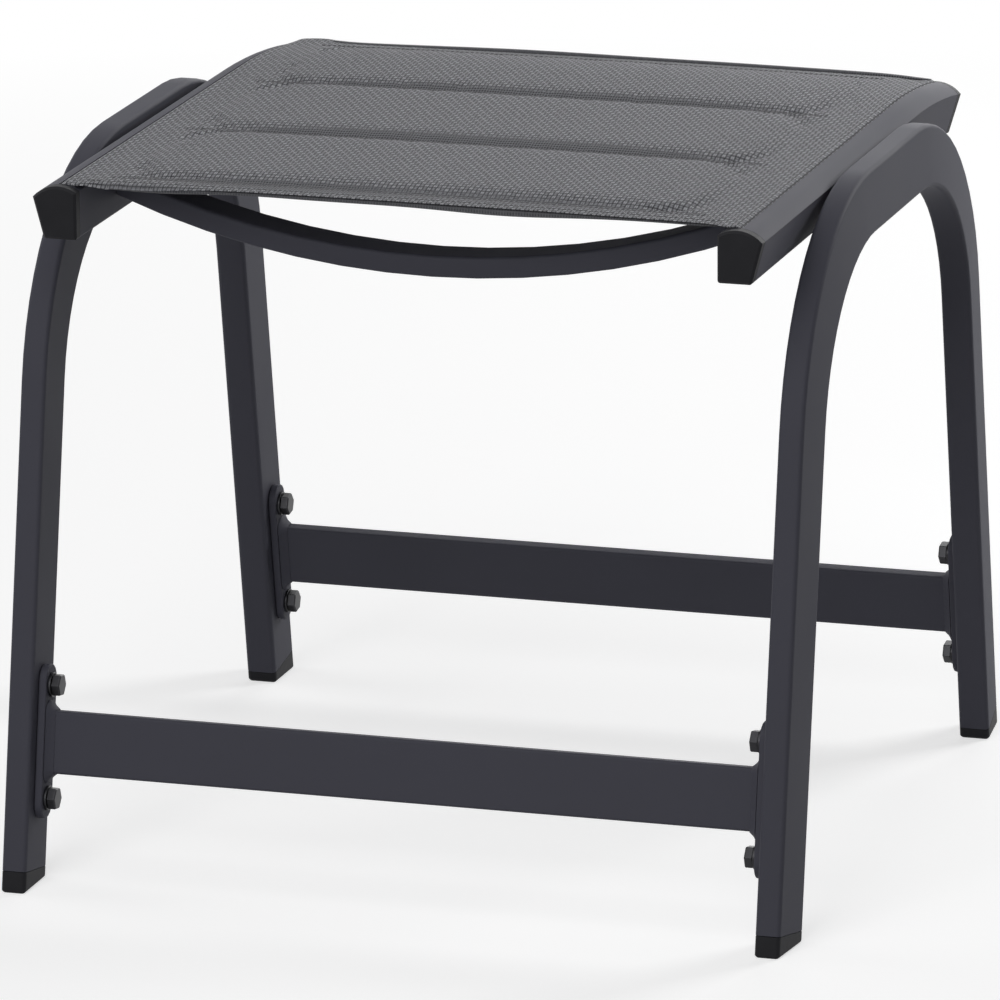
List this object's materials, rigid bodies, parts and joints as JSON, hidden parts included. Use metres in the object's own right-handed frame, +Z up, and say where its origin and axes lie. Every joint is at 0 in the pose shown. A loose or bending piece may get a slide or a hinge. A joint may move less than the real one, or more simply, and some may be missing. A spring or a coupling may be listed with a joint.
{
  "type": "outdoor footstool",
  "caption": "Rigid outdoor footstool with bent side frames, bowed cross bars, tilted stretchers and a padded sling seat.",
  "frame": {"origin": "on the floor under the centre of the stool", "axes": "+X to the stool's right seen from the front, -Y to the front, +Z up"},
  "size_m": [0.5162, 0.5396, 0.4593],
  "materials": {
    "frame": "anthracite powder coat, satin",
    "black_plastic": "moulded, fine grain",
    "fabric": "woven textile, padded",
    "rod": "drawn plastic rod",
    "dark_steel": "dark plated",
    "steel": "zinc plated"
  },
  "bodies": {
    "root": {"side_frame_left": "frame", "seat_rail_left": "frame", "keder_rod_left": "rod", "side_frame_right": "frame", "seat_rail_right": "frame", "keder_rod_right": "rod", "front_stretcher": "frame", "front_bow_bar": "frame", "rear_stretcher": "frame", "rear_bow_bar": "frame", "padded_sling": "fabric", "foot_cap_front_left": "black_plastic", "rail_end_cap_front_left": "black_plastic", "rail_spacer_front_left": "black_plastic", "stretcher_plate_front_left": "frame", "weld_bead_front_left": "frame", "rail_bolt_front_left": "steel", "plate_bolt_front_left_lower": "dark_steel", "plate_washer_front_left_lower": "dark_steel", "leg_nut_front_left_lower": "steel", "plate_bolt_front_left_upper": "dark_steel", "plate_washer_front_left_upper": "dark_steel", "leg_nut_front_left_upper": "steel", "foot_cap_rear_left": "black_plastic", "rail_end_cap_rear_left": "black_plastic", "rail_spacer_rear_left": "black_plastic", "stretcher_plate_rear_left": "frame", "weld_bead_rear_left": "frame", "rail_bolt_rear_left": "steel", "plate_bolt_rear_left_lower": "dark_steel", "plate_washer_rear_left_lower": "dark_steel", "leg_nut_rear_left_lower": "steel", "plate_bolt_rear_left_upper": "dark_steel", "plate_washer_rear_left_upper": "dark_steel", "leg_nut_rear_left_upper": "steel", "foot_cap_front_right": "black_plastic", "rail_end_cap_front_right": "black_plastic", "rail_spacer_front_right": "black_plastic", "stretcher_plate_front_right": "frame", "weld_bead_front_right": "frame", "rail_bolt_front_right": "steel", "plate_bolt_front_right_lower": "dark_steel", "plate_washer_front_right_lower": "dark_steel", "leg_nut_front_right_lower": "steel", "plate_bolt_front_right_upper": "dark_steel", "plate_washer_front_right_upper": "dark_steel", "leg_nut_front_right_upper": "steel", "foot_cap_rear_right": "black_plastic", "rail_end_cap_rear_right": "black_plastic", "rail_spacer_rear_right": "black_plastic", "stretcher_plate_rear_right": "frame", "weld_bead_rear_right": "frame", "rail_bolt_rear_right": "steel", "plate_bolt_rear_right_lower": "dark_steel", "plate_washer_rear_right_lower": "dark_steel", "leg_nut_rear_right_lower": "steel", "plate_bolt_rear_right_upper": "dark_steel", "plate_washer_rear_right_upper": "dark_steel", "leg_nut_rear_right_upper": "steel"}
  },
  "joints": []
}
